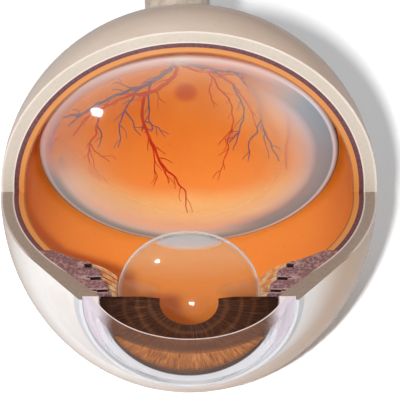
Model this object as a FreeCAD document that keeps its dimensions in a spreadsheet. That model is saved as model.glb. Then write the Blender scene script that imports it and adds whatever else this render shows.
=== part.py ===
"""Eye anatomy model, five times life size, with its upper front quarter taken away.

The origin is the middle of the flat that the eye stands on, straight under the centre of
the globe. The eye looks along -Y and +Z is up. Every piece is drawn about the centre of the
globe, with the two cut faces on the planes Z = 0 in front and Y = 0 above, and is lifted by
the height of that centre at the end. The optical axis of the cornea, iris and lens runs
along Y a little below the horizontal cut.
"""

import FreeCAD, Part
import Sketcher
import math
import os

from FreeCAD import Placement, Rotation, Vector

X_AXIS, Y_AXIS, Z_AXIS = Vector(1, 0, 0), Vector(0, 1, 0), Vector(0, 0, 1)

doc = FreeCAD.newDocument("EyeModel")

# ---------------------------------------------------------------- driving dimensions, mm

DIMENSIONS = [
    # globe and its three coats
    ("globe_radius", 60.0),
    ("globe_depth", 66.5),
    ("sclera_inner", 55.8),
    ("choroid_inner", 54.3),
    ("retina_inner", 52.2),
    ("glue_line", 0.03),
    ("retina_front_end", 31.0),
    ("room", 200.0),
    # underside
    ("foot_level", 63.3),
    ("bush_radius", 5.0),
    ("bush_length", 6.8),
    ("bush_behind", 7.2),
    ("socket_radius", 3.0),
    ("socket_depth", 5.8),
    # pins across the joint of the two sclera mouldings
    ("pin_radius", 1.25),
    ("pin_length", 12.0),
    ("pin_circle", 57.9),
    ("pin_angle_upper", 25.0),
    ("pin_angle_lower", 68.0),
    # front of the sclera, where the cornea is let in
    ("axis_drop", 1.2),
    ("limbus_radius", 33.0),
    ("limbus_front", 55.6),
    ("flare_radius", 47.7),
    ("flare_back", 36.4),
    ("inner_flare_radius", 41.56),
    ("inner_flare_back", 37.2),
    ("seat_radius", 32.0),
    ("seat_depth", 53.9),
    ("aperture_radius", 26.9),
    # cornea
    ("cornea_outer", 30.2),
    ("cornea_height", 26.8),
    ("cornea_outer_centre", 50.9),
    ("skirt_radius", 31.7),
    ("skirt_top_radius", 22.0),
    ("skirt_top", 68.4),
    ("cornea_inner", 30.4),
    ("cornea_inner_centre", 43.8),
    ("cornea_rim_inner", 27.2),
    ("cornea_back", 54.1),
    # iris
    ("iris_radius", 26.6),
    ("iris_back", 54.15),
    ("iris_thick", 1.4),
    ("collarette_radius", 14.5),
    ("collarette_rise", 0.6),
    ("pupil_radius", 8.8),
    # lens
    ("lens_radius", 21.4),
    ("lens_equator", 50.4),
    ("lens_front_bulge", 3.2),
    ("lens_rear_bulge", 12.0),
    # vitreous body
    ("vitreous_radius", 51.3),
    ("vitreous_face", 15.3),
    ("vitreous_dome", 3.2),
    ("vitreous_rim", 1.2),
    ("vitreous_tilt", 17.3),
    # ciliary body: radius and depth of the corners of its inner side, back to front
    ("muscle_back_radius", 33.6),
    ("muscle_back", 36.0),
    ("muscle_middle_radius", 31.6),
    ("muscle_middle", 43.0),
    ("muscle_tip", 52.3),
    # ciliary folds: skin, leaf thickness, first leaf's angle, number of leaves
    ("fold_skin", 0.8),
    ("fold_thick", 1.9),
    ("fold_start", 2.6),
    ("fold_count", 25),
    # lobes of a leaf: radius of each tip and depths of the cuts between them
    ("lobe_one_tip", 29.6),
    ("lobe_two_tip", 26.9),
    ("lobe_three_tip", 24.6),
    ("lobe_four_tip", 23.4),
    ("lobe_one_end", 38.1),
    ("lobe_two_end", 44.5),
    ("lobe_three_end", 50.6),
    ("lobe_four_end", 52.6),
    ("lobe_cut", 1.1),
    # zonule
    ("fibre_radius", 0.3),
    ("lens_gap", 0.5),
    # optic nerve
    ("nerve_rise", 22.0),
    ("nerve_aside", 3.2),
    ("sheath_radius", 11.0),
    ("sheath_root_radius", 14.0),
    ("sheath_root_end", 67.0),
    ("nerve_radius", 8.4),
    ("sheath_end", 83.0),
    ("nerve_end", 85.0),
    ("disc_radius", 4.2),
    ("disc_face", 51.9),
    ("central_vessel", 1.0),
    ("central_spacing", 2.6),
    ("central_end", 86.5),
    # retinal vessels
    ("artery_radius", 0.5),
    ("vein_radius", 0.6),
]

sheet = doc.addObject("Spreadsheet::Sheet", "Sizes")
for row, (alias, value) in enumerate(DIMENSIONS, start=1):
    sheet.set(f"A{row}", alias)
    sheet.set(f"B{row}", str(value))
    sheet.setAlias(f"B{row}", alias)
doc.recompute()


def size(alias):
    return float(sheet.get(alias))


TOUCHING = 1e-6     # points closer than this are the same point


# ---------------------------------------------------------------- small building helpers

def bound(kind, name, **expressions):
    """A Part primitive whose properties are bound to the sheet."""
    solid = doc.addObject(f"Part::{kind}", name)
    for prop, formula in expressions.items():
        solid.setExpression(prop, formula)
    return solid


def placed(solid, rotation=None, **offsets):
    """Gives a primitive its turn, and binds its offsets x, y, z to the sheet."""
    solid.Placement = Placement(Vector(), rotation or Rotation())
    for axis, formula in offsets.items():
        solid.setExpression(f"Placement.Base.{axis}", formula)
    return solid


def subtract(name, base, *tools):
    for count, tool in enumerate(tools):
        cut = doc.addObject("Part::Cut", name if count == len(tools) - 1 else f"{name}_cut{count}")
        cut.Base, cut.Tool = base, tool
        base = cut
    return base


def join(name, *solids):
    fusion = doc.addObject("Part::MultiFuse", name)
    fusion.Shapes = list(solids)
    fusion.Refine = True
    return fusion


def overlap(name, first, second):
    common = doc.addObject("Part::Common", name)
    common.Base, common.Tool = first, second
    return common


FORWARD = Rotation(X_AXIS, 90)      # turns a primitive's own Z towards the front, -Y
TURNED = Rotation(Z_AXIS, 180)      # brings the rear half of a primitive to the front


def half_space(name, rotation=None, **offsets):
    """A box far larger than the eye, centred on X, used to keep or remove one side."""
    box = bound("Box", name, Length="2 * Sizes.room", Width="2 * Sizes.room", Height="Sizes.room")
    offsets = {"x": "-Sizes.room", "y": "-Sizes.room", **offsets}
    return placed(box, rotation, **offsets)


def rear_ball(name, radius):
    """The rear hemisphere of a ball about the globe's centre."""
    return bound("Sphere", name, Radius=radius, Angle3="180")


def front_quarter_ball(name, radius):
    """The lower front quarter of a ball about the globe's centre."""
    return placed(bound("Sphere", name, Radius=radius, Angle2="0", Angle3="180"), TURNED)


def axial_cylinder(name, radius, back, height):
    """A cylinder on the optical axis that starts at a depth and runs forward."""
    solid = bound("Cylinder", name, Radius=radius, Height=height)
    return placed(solid, FORWARD, y=f"-({back})", z="-Sizes.axis_drop")


def axial_ball(name, radius, centre):
    """A ball on the optical axis."""
    return placed(bound("Sphere", name, Radius=radius), FORWARD, y=f"-({centre})", z="-Sizes.axis_drop")


def below(name, solid):
    """Keeps what lies under the horizontal cut."""
    return overlap(name, solid, half_space(f"{name}_under", z="-Sizes.room"))


# ---------------------------------------------------------------- locating pins and bush

def pin_rods(name):
    """Four rods along Y, half in the rear bowl and half in the front quarter."""
    rods = []
    for level in ("upper", "lower"):
        angle = f"Sizes.pin_angle_{level}"
        for side, sign in (("right", ""), ("left", "-")):
            rod = bound("Cylinder", f"{name}_{level}_{side}", Radius="Sizes.pin_radius",
                        Height="Sizes.pin_length")
            placed(rod, FORWARD, x=f"{sign}Sizes.pin_circle * cos({angle})", y="Sizes.pin_length / 2",
                   z=f"-Sizes.pin_circle * sin({angle})")
            rods.append(rod)
    return rods


def bush_blank(name):
    solid = bound("Cylinder", name, Radius="Sizes.bush_radius", Height="Sizes.bush_length")
    return placed(solid, y="Sizes.bush_behind", z="-Sizes.foot_level")


locating_pins = doc.addObject("Part::Compound", "locating_pins")
locating_pins.Links = pin_rods("pin")

socket_hole = placed(bound("Cylinder", "socket_hole", Radius="Sizes.socket_radius", Height="Sizes.socket_depth"),
                     y="Sizes.bush_behind", z="-Sizes.foot_level")
stand_bush = subtract("stand_bush", bush_blank("bush_body"), socket_hole)


# ---------------------------------------------------------------- optic nerve

NERVE_TURN = (Rotation(Z_AXIS, size("nerve_aside")) * Rotation(X_AXIS, size("nerve_rise"))
              * Rotation(X_AXIS, -90))      # a primitive's own Z points out along the nerve


def nerve_cylinder(name, radius, start, end, across="0"):
    """A cylinder along the nerve from one distance to another from the globe's centre."""
    solid = bound("Cylinder", name, Radius=radius, Height=f"{end} - {start}")
    along, side = NERVE_TURN.multVec(Z_AXIS), NERVE_TURN.multVec(X_AXIS)
    offsets = {}
    for axis in "xyz":
        offsets[axis] = f"({start}) * {getattr(along, axis)} + ({across}) * {getattr(side, axis)}"
    return placed(solid, NERVE_TURN, **offsets)


def central_bores(name):
    """The artery and the vein that run side by side in the middle of the nerve."""
    return [nerve_cylinder(f"{name}_{kind}", "Sizes.central_vessel", "Sizes.retina_inner", "Sizes.central_end",
                           f"{sign} Sizes.central_spacing / 2") for kind, sign in (("artery", "-"), ("vein", ""))]


nerve_channel = nerve_cylinder("nerve_channel", "Sizes.nerve_radius", "0", "Sizes.room")
disc_channel = nerve_cylinder("disc_channel", "Sizes.disc_radius", "0", "Sizes.room")

sheath_root = bound("Cone", "sheath_root", Radius1="Sizes.sheath_root_radius", Radius2="Sizes.sheath_radius",
                    Height="Sizes.sheath_root_end - Sizes.sclera_inner")
outward = NERVE_TURN.multVec(Z_AXIS)
placed(sheath_root, NERVE_TURN, **{axis: f"Sizes.sclera_inner * {getattr(outward, axis)}" for axis in "xyz"})
sheath_tube = nerve_cylinder("sheath_tube", "Sizes.sheath_radius", "Sizes.sclera_inner", "Sizes.sheath_end")
optic_nerve_sheath = subtract("optic_nerve_sheath", join("sheath_blank", sheath_root, sheath_tube),
                              bound("Sphere", "sheath_seat", Radius="Sizes.globe_radius"), nerve_channel)

nerve_body = nerve_cylinder("nerve_body", "Sizes.nerve_radius", "Sizes.sclera_inner", "Sizes.nerve_end")
nerve_bores = central_bores("nerve_bore")
optic_nerve = subtract("optic_nerve", nerve_body, bound("Sphere", "nerve_seat", Radius="Sizes.sclera_inner"),
                       *nerve_bores)


def alone(name, solid):
    """A group of one, so that a primitive's own placement stays bound when the piece is lifted."""
    group = doc.addObject("Part::Compound", name)
    group.Links = [solid]
    return group


artery_core, vein_core = central_bores("core")
central_artery, central_vein = alone("central_artery", artery_core), alone("central_vein", vein_core)

disc_plug = nerve_cylinder("disc_plug", "Sizes.disc_radius", "0", "Sizes.room")
disc_shell = subtract("disc_shell", bound("Sphere", "disc_back", Radius="Sizes.sclera_inner"),
                      bound("Sphere", "disc_front", Radius="Sizes.disc_face"))
optic_disc = subtract("optic_disc", overlap("disc_piece", disc_shell, disc_plug), *central_bores("disc_bore"))


# ---------------------------------------------------------------- sclera

upper_rear = bound("Sphere", "upper_rear", Radius="Sizes.globe_radius", Angle1="0", Angle3="180")
lower_rear = bound("Ellipsoid", "lower_rear", Radius1="Sizes.globe_depth", Radius2="Sizes.globe_radius",
                   Radius3="Sizes.globe_radius", Angle1="-90", Angle2="0", Angle3="180")
foot_cut = half_space("foot_cut", z="-Sizes.foot_level - Sizes.room")
sclera_rear = subtract("sclera_rear", join("rear_blank", upper_rear, lower_rear),
                       rear_ball("rear_hollow", "Sizes.sclera_inner"), foot_cut,
                       nerve_channel, bush_blank("bush_pocket"), *pin_rods("rear_pin_hole"))

lower_front = placed(bound("Ellipsoid", "lower_front", Radius1="Sizes.globe_depth", Radius2="Sizes.globe_radius",
                           Radius3="Sizes.globe_radius", Angle1="-90", Angle2="0", Angle3="180"), TURNED)
flare = bound("Cone", "flare", Radius1="Sizes.flare_radius", Radius2="Sizes.limbus_radius",
              Height="Sizes.limbus_front - Sizes.flare_back")
placed(flare, FORWARD, y="-Sizes.flare_back", z="-Sizes.axis_drop")
inner_flare = bound("Cone", "inner_flare", Radius1="Sizes.inner_flare_radius", Radius2="Sizes.aperture_radius",
                    Height="Sizes.seat_depth - Sizes.inner_flare_back")
placed(inner_flare, FORWARD, y="-Sizes.inner_flare_back")
front_blank = join("front_blank", lower_front, below("lower_flare", flare))
cornea_seat = axial_cylinder("cornea_seat", "Sizes.seat_radius", "Sizes.seat_depth", "Sizes.room")
sclera_front = subtract("sclera_front", front_blank, bound("Sphere", "front_hollow", Radius="Sizes.sclera_inner"),
                        inner_flare, cornea_seat, half_space("front_foot_cut", z="-Sizes.foot_level - Sizes.room"),
                        *pin_rods("front_pin_hole"))


# ---------------------------------------------------------------- choroid and retina

def front_coat(name, outer, inner):
    """A lower front quarter shell that stops where the ciliary body begins."""
    shell = subtract(f"{name}_shell", front_quarter_ball(f"{name}_outside", outer),
                     bound("Sphere", f"{name}_inside", Radius=inner))
    ahead = half_space(f"{name}_ahead", FORWARD, x="-Sizes.room", y="-Sizes.retina_front_end", z="-Sizes.room")
    return subtract(name, shell, ahead)


# Each coat is glued into the one outside it, so its outer face is smaller by the glue line.
CHOROID_OUTER = "Sizes.sclera_inner - Sizes.glue_line"
RETINA_OUTER = "Sizes.choroid_inner - Sizes.glue_line"

choroid_rear = subtract("choroid_rear", rear_ball("choroid_outside", CHOROID_OUTER),
                        rear_ball("choroid_inside", "Sizes.choroid_inner"), disc_channel)
retina_rear = subtract("retina_rear", rear_ball("retina_outside", RETINA_OUTER),
                       rear_ball("retina_inside", "Sizes.retina_inner"), disc_channel)
choroid_front = front_coat("choroid_front", CHOROID_OUTER, "Sizes.choroid_inner")
retina_front = front_coat("retina_front", RETINA_OUTER, "Sizes.retina_inner")


# ---------------------------------------------------------------- retinal vessels

def on_retina(turn, rise):
    """A point of the retina, by its angles to the left or right and above the rear pole."""
    turn, rise, radius = math.radians(turn), math.radians(rise), size("retina_inner")
    return Vector(radius * math.sin(turn) * math.cos(rise), radius * math.cos(turn) * math.cos(rise),
                  radius * math.sin(rise))


def vessel_tree(name, radius, routes):
    """Round vessels half sunk in the retina, each an arc through three of its points."""
    tubes = []
    for route in routes:
        start, middle, end = [on_retina(*point) for point in route]
        arc = Part.Arc(start, middle, end)
        profile = Part.Wire(Part.makeCircle(radius, start, arc.tangent(arc.FirstParameter)[0]))
        tubes.append(Part.Wire(arc.toShape()).makePipeShell([profile], True, False))
    tree = doc.addObject("Part::Feature", name)
    tree.Shape = Part.makeCompound(tubes)
    return tree


ARTERY_ROUTES = [
    [(-5.8, 15.6), (-14.6, 5.6), (-42.0, 2.5)],
    [(-16.9, 3.0), (-16.4, -14.2), (-1.0, -39.5)],
    [(-38.0, -1.0), (-42.0, -11.8), (-42.0, -22.2)],
    [(0.0, 17.4), (18.9, 15.0), (40.7, 0.6)],
    [(14.1, 13.0), (21.2, 3.8), (27.6, -6.8)],
]
VEIN_ROUTES = [
    [(-8.5, 19.0), (-19.4, 9.5), (-45.1, 6.2)],
    [(-24.6, -0.6), (-26.4, -5.5), (-28.1, -14.8)],
    [(3.0, 20.5), (19.9, 18.5), (45.7, 11.8)],
    [(21.0, 12.0), (27.6, 0.1), (37.0, -16.8)],
    [(11.0, 11.0), (17.0, 2.4), (20.1, -10.3)],
]
retinal_arteries = vessel_tree("retinal_arteries", size("artery_radius"), ARTERY_ROUTES)
retinal_veins = vessel_tree("retinal_veins", size("vein_radius"), VEIN_ROUTES)


# ---------------------------------------------------------------- sketched profiles

def outline(body, name, points, arcs=None):
    """A closed sketch on the horizontal plane: X is the radius, Y is minus the depth.

    Each corner's coordinates are pinned to its two formulas. arcs maps the number of a
    side to the formula of its radius; the arc swells to the left of the way it is drawn.
    """
    sketch = body.newObject("Sketcher::SketchObject", name)
    plane = next(feature for feature in body.Origin.OriginFeatures if feature.Role == "XY_Plane")
    sketch.AttachmentSupport = [(plane, "")]
    sketch.MapMode = "FlatFace"
    corners = [Vector(value(x), value(y), 0) for x, y in points]
    firsts, lasts = [], []
    for side, start in enumerate(corners):
        end = corners[(side + 1) % len(corners)]
        formula = (arcs or {}).get(side)
        if formula is None:
            sketch.addGeometry(Part.LineSegment(start, end), False)
            firsts.append(1)
            lasts.append(2)
            continue
        radius, half_chord = value(formula), (end - start).Length / 2
        right = Vector(end.y - start.y, start.x - end.x, 0).normalize()
        centre = (start + end) / 2 + right * math.sqrt(radius ** 2 - half_chord ** 2)
        low, high = [math.atan2(point.y - centre.y, point.x - centre.x) for point in (end, start)]
        circle = Part.Circle(centre, Z_AXIS, radius)
        sketch.addGeometry(Part.ArcOfCircle(circle, low, high), False)
        number = sketch.addConstraint(Sketcher.Constraint("Radius", side, radius))
        sketch.setExpression(f"Constraints[{number}]", formula)
        firsts.append(2)
        lasts.append(1)
    for side, (x, y) in enumerate(points):
        sketch.addConstraint(Sketcher.Constraint("Coincident", side, firsts[side], side - 1 if side else
                                                 len(points) - 1, lasts[side - 1]))
        for kind, formula, length in (("DistanceX", x, corners[side].x), ("DistanceY", y, corners[side].y)):
            number = sketch.addConstraint(Sketcher.Constraint(kind, -1, 1, side, firsts[side], length))
            sketch.setExpression(f"Constraints[{number}]", formula)
    return sketch


def value(formula):
    """What a formula over the sheet comes to."""
    return float(sheet.evalExpression(formula))


def turned_body(name, angle, points, arcs=None, back_angle=None):
    """A body turned about the Y axis from its profile downwards, and if asked a little upwards."""
    body = doc.addObject("PartDesign::Body", name)
    sketch = outline(body, f"{name}_profile", points, arcs)
    turn = body.newObject("PartDesign::Revolution", f"{name}_turn")
    turn.Profile = sketch
    turn.ReferenceAxis = (sketch, ["V_Axis"])
    turn.setExpression("Angle", angle)
    if back_angle:
        turn.Type = "TwoAngles"
        turn.setExpression("Angle2", back_angle)
    return body


# ---------------------------------------------------------------- ciliary body and folds

def wall_radius(depth):
    """Formula for the radius of the sclera's flared inner wall at a depth."""
    return (f"(Sizes.inner_flare_radius - ({depth} - Sizes.inner_flare_back) * (Sizes.inner_flare_radius"
            f" - Sizes.aperture_radius) / (Sizes.seat_depth - Sizes.inner_flare_back))")


def ball_radius(ball, depth):
    """Formula for the radius of a ball about the globe's centre at a depth."""
    return f"sqrt(pow({ball}; 2) - pow({depth}; 2))"


MUSCLE_BACK = ("Sizes.muscle_back_radius", "-Sizes.muscle_back")
MUSCLE_MIDDLE = ("Sizes.muscle_middle_radius", "-Sizes.muscle_middle")
MUSCLE_TIP = (wall_radius("Sizes.muscle_tip"), "-Sizes.muscle_tip")

ciliary_body = turned_body("ciliary_body", "180", [
    (ball_radius("Sizes.retina_inner", "Sizes.retina_front_end"), "-Sizes.retina_front_end"),
    (ball_radius("Sizes.sclera_inner", "Sizes.retina_front_end"), "-Sizes.retina_front_end"),
    ("Sizes.inner_flare_radius", "-Sizes.inner_flare_back"),
    MUSCLE_TIP, MUSCLE_MIDDLE, MUSCLE_BACK,
], arcs={1: "Sizes.sclera_inner"})


def skin_radius(depth):
    """Formula for the radius of the folds' skin, which lies on the muscle's inner side."""
    slope = "(Sizes.muscle_back_radius - Sizes.muscle_middle_radius) / (Sizes.muscle_middle - Sizes.muscle_back)"
    front_slope = (f"(Sizes.muscle_middle_radius - {MUSCLE_TIP[0]}) / (Sizes.muscle_tip - Sizes.muscle_middle)")
    behind = f"Sizes.muscle_back_radius - ({depth} - Sizes.muscle_back) * {slope}"
    ahead = f"Sizes.muscle_middle_radius - ({depth} - Sizes.muscle_middle) * {front_slope}"
    return f"({depth} < Sizes.muscle_middle ? {behind} : {ahead}) - Sizes.fold_skin / 2"


def skinned(corner):
    return (f"{corner[0]} - Sizes.fold_skin", corner[1])


ciliary_folds = turned_body("ciliary_processes", "180 - Sizes.fold_start", [
    MUSCLE_BACK, skinned(MUSCLE_BACK), skinned(MUSCLE_MIDDLE), skinned(MUSCLE_TIP), MUSCLE_TIP, MUSCLE_MIDDLE,
], back_angle="Sizes.fold_start")

LOBES = [("Sizes.muscle_back", "Sizes.lobe_one_end", "Sizes.lobe_one_tip")]
for behind, ahead in (("one", "two"), ("two", "three"), ("three", "four")):
    LOBES.append((f"Sizes.lobe_{behind}_end + Sizes.lobe_cut", f"Sizes.lobe_{ahead}_end",
                  f"Sizes.lobe_{ahead}_tip"))

leaf_corners, leaf_arcs = [], {}
for back, front, tip in reversed(LOBES):
    leaf_arcs[len(leaf_corners) + 1] = f"({front} - ({back})) / 2 + 1.5 * Sizes.lobe_cut"
    leaf_corners += [
        (skin_radius(front), f"-({front})"),
        (tip, f"-({front})"),
        (f"{tip} + 2 * Sizes.lobe_cut", f"-({back})"),
        (skin_radius(back), f"-({back})"),
    ]
leaf_sketch = outline(ciliary_folds, "leaf_profile", leaf_corners, leaf_arcs)
leaf = ciliary_folds.newObject("PartDesign::Pad", "leaf")
leaf.Profile = leaf_sketch
leaf.SideType = "Symmetric"
leaf.setExpression("Length", "Sizes.fold_thick")
leaves = ciliary_folds.newObject("PartDesign::PolarPattern", "leaves")
leaves.Originals = [leaf]
leaves.Axis = (leaf_sketch, ["V_Axis"])
leaves.setExpression("Angle", "180 - 2 * Sizes.fold_start")
leaves.setExpression("Occurrences", "Sizes.fold_count")
ciliary_folds.Tip = leaves
ciliary_folds.Placement = Placement(Vector(), Rotation(Y_AXIS, size("fold_start")))


# ---------------------------------------------------------------- zonule fibres

def around(axis_drop, radius, depth, angle):
    """A point at an angle under the right-hand cut, about an axis that lies so far down."""
    return Vector(radius * math.cos(angle), -depth, -axis_drop - radius * math.sin(angle))


def zonule():
    """Thin straight fibres from the tips of every leaf to the lens, fixed at the leaf only."""
    fibres = []
    equator, reach = size("lens_equator"), size("lens_radius") + size("lens_gap")
    rows = [(size("lobe_one_tip"), size("lobe_one_end") - 1.0, equator - 4.5),
            (size("lobe_two_tip"), size("lobe_two_end") - 1.0, equator - 2.0),
            (size("lobe_three_tip"), size("lobe_three_end") - 0.8, equator)]
    count = int(size("fold_count"))
    step = (180 - 2 * size("fold_start")) / (count - 1)
    for number in range(count):
        angle = math.radians(size("fold_start") + number * step)
        for tip_radius, tip_depth, lens_depth in rows:
            root = around(0, tip_radius + size("fibre_radius"), tip_depth, angle)
            end = around(size("axis_drop"), reach, lens_depth, angle)
            fibres.append(Part.makeCylinder(size("fibre_radius"), (end - root).Length, root, end - root))
    return Part.makeCompound(fibres)


zonule_fibres = doc.addObject("Part::Feature", "zonule_fibres")
zonule_fibres.Shape = zonule()


# ---------------------------------------------------------------- cornea, iris and lens

cornea_dome = bound("Ellipsoid", "cornea_dome", Radius1="Sizes.cornea_outer", Radius2="Sizes.cornea_outer",
                    Radius3="Sizes.cornea_height")
placed(cornea_dome, FORWARD, y="-Sizes.cornea_outer_centre", z="-Sizes.axis_drop")
cornea_ahead = axial_cylinder("cornea_ahead", "Sizes.skirt_radius", "Sizes.cornea_back", "Sizes.room")
cornea_skirt = bound("Cone", "cornea_skirt", Radius1="Sizes.skirt_radius", Radius2="Sizes.skirt_top_radius",
                     Height="Sizes.skirt_top - Sizes.cornea_back")
placed(cornea_skirt, FORWARD, y="-Sizes.cornea_back", z="-Sizes.axis_drop")
cornea_blank = join("cornea_blank", overlap("cornea_cap", cornea_dome, cornea_ahead), cornea_skirt)
cornea_cavity = overlap("cornea_cavity",
                        axial_ball("cornea_inside", "Sizes.cornea_inner", "Sizes.cornea_inner_centre"),
                        axial_cylinder("cornea_mouth", "Sizes.cornea_rim_inner", "0", "Sizes.room"))
cornea = below("cornea", subtract("cornea_whole", cornea_blank, cornea_cavity))

iris_plate = axial_cylinder("iris_plate", "Sizes.iris_radius", "Sizes.iris_back", "Sizes.iris_thick")
collarette = bound("Cone", "collarette", Radius1="Sizes.collarette_radius + 5 * Sizes.collarette_rise",
                   Radius2="Sizes.collarette_radius", Height="Sizes.iris_thick + Sizes.collarette_rise")
placed(collarette, FORWARD, y="-Sizes.iris_back", z="-Sizes.axis_drop")
pupil = axial_cylinder("pupil", "Sizes.pupil_radius", "0", "Sizes.room")
iris = below("iris", subtract("iris_whole", join("iris_blank", iris_plate, collarette), pupil))


def lens_half(name, bulge, low, high):
    solid = bound("Ellipsoid", name, Radius1=bulge, Radius2="Sizes.lens_radius", Radius3="Sizes.lens_radius",
                  Angle1=low, Angle2=high)
    return placed(solid, FORWARD, y="-Sizes.lens_equator", z="-Sizes.axis_drop")


lens = join("lens", lens_half("lens_front", "Sizes.lens_front_bulge", "0", "90"),
            lens_half("lens_rear", "Sizes.lens_rear_bulge", "-90", "0"))


# ---------------------------------------------------------------- vitreous body

RIM_RADIUS = "sqrt(pow(Sizes.vitreous_radius; 2) - pow(Sizes.vitreous_face; 2))"
DOME_RADIUS = f"(pow({RIM_RADIUS}; 2) + pow(Sizes.vitreous_dome; 2)) / (2 * Sizes.vitreous_dome)"
vitreous_body = turned_body("vitreous_body", "360", [
    ("0", "Sizes.vitreous_radius"),
    (RIM_RADIUS, "Sizes.vitreous_face"),
    ("0", "Sizes.vitreous_face - Sizes.vitreous_dome"),
], arcs={0: "Sizes.vitreous_radius", 1: DOME_RADIUS})
doc.recompute()
turned_cap = vitreous_body.Tip
rim_edges = [f"Edge{number}" for number, edge in enumerate(turned_cap.Shape.Edges, start=1)
             if not edge.Degenerated and abs(edge.BoundBox.XMax - value(RIM_RADIUS)) < TOUCHING
             and abs(edge.BoundBox.YLength) < TOUCHING]
rim_round = vitreous_body.newObject("PartDesign::Fillet", "rim_round")
rim_round.Base = (turned_cap, rim_edges)
rim_round.setExpression("Radius", "Sizes.vitreous_rim")
vitreous_body.Placement = Placement(Vector(), Rotation(X_AXIS, size("vitreous_tilt")))


# ---------------------------------------------------------------- check and write

NODES = [
    sclera_rear, sclera_front, choroid_rear, choroid_front, retina_rear, retina_front,
    optic_disc, optic_nerve_sheath, optic_nerve, central_artery, central_vein,
    retinal_arteries, retinal_veins, ciliary_body, ciliary_folds, zonule_fibres,
    locating_pins, stand_bush, cornea, iris, lens, vitreous_body,
]

for node in NODES:
    node.setExpression("Placement.Base.z", "Sizes.foot_level")
doc.recompute()
for item in doc.Objects:
    if "Invalid" in item.State or "Error" in item.State:
        raise RuntimeError(f"{item.Name} failed: {item.State}")
os.makedirs("parts", exist_ok=True)
for node in NODES:
    shape = node.Shape
    if shape.isNull() or not shape.isValid() or not shape.Solids:
        raise RuntimeError(f"{node.Label} has no valid solid")
    shape.exportStep(f"parts/{node.Label}.step")
    print(f"{node.Label}: {len(shape.Solids)} solids, {shape.Volume / 1000:.2f} cm3")
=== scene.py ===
"""Looks of the eye anatomy model, built piece by piece round its packed construction."""

import random
from math import asin, cos, exp, pi, radians, sin

import bpy
from mathutils import Matrix, Vector


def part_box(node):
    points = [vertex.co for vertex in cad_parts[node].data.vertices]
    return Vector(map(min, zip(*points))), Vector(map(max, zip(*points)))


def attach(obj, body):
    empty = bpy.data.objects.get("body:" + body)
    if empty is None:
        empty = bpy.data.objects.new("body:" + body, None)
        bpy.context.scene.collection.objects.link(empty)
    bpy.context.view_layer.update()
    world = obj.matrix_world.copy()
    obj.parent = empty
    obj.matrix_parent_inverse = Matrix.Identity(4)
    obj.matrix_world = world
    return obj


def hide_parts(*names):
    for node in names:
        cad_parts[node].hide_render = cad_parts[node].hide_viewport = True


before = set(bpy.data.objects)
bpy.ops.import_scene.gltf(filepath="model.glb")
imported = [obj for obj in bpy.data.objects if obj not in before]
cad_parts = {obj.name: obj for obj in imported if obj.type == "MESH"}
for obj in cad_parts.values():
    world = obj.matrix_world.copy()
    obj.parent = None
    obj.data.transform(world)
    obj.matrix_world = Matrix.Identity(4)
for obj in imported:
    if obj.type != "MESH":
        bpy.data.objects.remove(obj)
bpy.context.view_layer.update()


# ---- Sclera mouldings ----
# The white coat is moulded in two parts: the rear bowl and the lower front quarter.
# Both are ivory plastic with a soft sheen, the cut faces are painted in one flat tone
# each, the front one darker as painted shade and both with a painted highlight along their
# edges, and the outside carries a faint pink and grey mottle under a clear coat. Painted
# shade turns the outside from ivory to beige in one direction.

MM = 0.001
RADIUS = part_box("sclera_rear")[1].x
CENTRE = Vector((0, 0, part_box("sclera_rear")[1].z - RADIUS))


def srgb(red, green, blue):
    """A colour as a chart gives it, 0 to 255, in the linear values that shaders read."""
    linear = [((c / 255 + 0.055) / 1.055) ** 2.4 for c in (red, green, blue)]
    return (*linear, 1.0)


def add(tree, kind, inputs=None, output=0, **settings):
    """Adds a node, sets or links its inputs, and returns one of its outputs."""
    made = tree.nodes.new(kind)
    for name, value in settings.items():
        setattr(made, name, value)
    for key, value in (inputs or {}).items():
        if isinstance(value, bpy.types.NodeSocket):
            tree.links.new(value, made.inputs[key])
        else:
            made.inputs[key].default_value = value
    return made.outputs[output]


def calc(tree, operation, first, second=0.0):
    """One step of arithmetic on numbers."""
    return add(tree, "ShaderNodeMath", {0: first, 1: second}, operation=operation)


def times(tree, first, second):
    return calc(tree, "MULTIPLY", first, second)


def fade(tree, value, low, high):
    """0 below low, 1 above high and smooth between; low may be the larger."""
    return add(tree, "ShaderNodeMapRange", {"Value": value, "From Min": low, "From Max": high},
               interpolation_type="SMOOTHSTEP")


def tint(tree, factor, first, second):
    """The first colour where the factor is 0, the second where it is 1."""
    return add(tree, "ShaderNodeMix", {0: factor, 6: first, 7: second}, output=2, data_type="RGBA")


def painted(tree, ground, *coats):
    """A ground colour with coats over it; each coat is where it lies, from 0 to 1, and its colour."""
    for cover, colour in coats:
        ground = tint(tree, cover, ground, colour)
    return ground


def mottle(tree, place, scale, detail=3.0):
    """Soft noise from 0 to 1."""
    return add(tree, "ShaderNodeTexNoise", {"Vector": place, "Scale": scale, "Detail": detail})


def plastic(name, roughness, coat=0.0, coat_roughness=0.1):
    """A new material of one Principled shader, with its tree."""
    material = bpy.data.materials.new(name)
    material.use_nodes = True
    shader = material.node_tree.nodes["Principled BSDF"]
    shader.inputs["Roughness"].default_value = roughness
    shader.inputs["Coat Weight"].default_value = coat
    shader.inputs["Coat Roughness"].default_value = coat_roughness
    return material, material.node_tree, shader


def place_in(tree, origin=CENTRE, tilt=0.0):
    """The piece's own coordinates in mm about a point, turned back by a tilt about X."""
    raw = add(tree, "ShaderNodeTexCoord", output="Object")
    return add(tree, "ShaderNodeMapping", {"Vector": raw, "Location": origin, "Rotation": (tilt, 0, 0),
                                           "Scale": (MM, MM, MM)}, vector_type="TEXTURE")


def part_of(tree, vector, axis):
    """One of a vector's three parts."""
    return add(tree, "ShaderNodeSeparateXYZ", {0: vector}, output=axis)


def length_of(tree, vector):
    return add(tree, "ShaderNodeVectorMath", {0: vector}, output="Value", operation="LENGTH")


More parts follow.
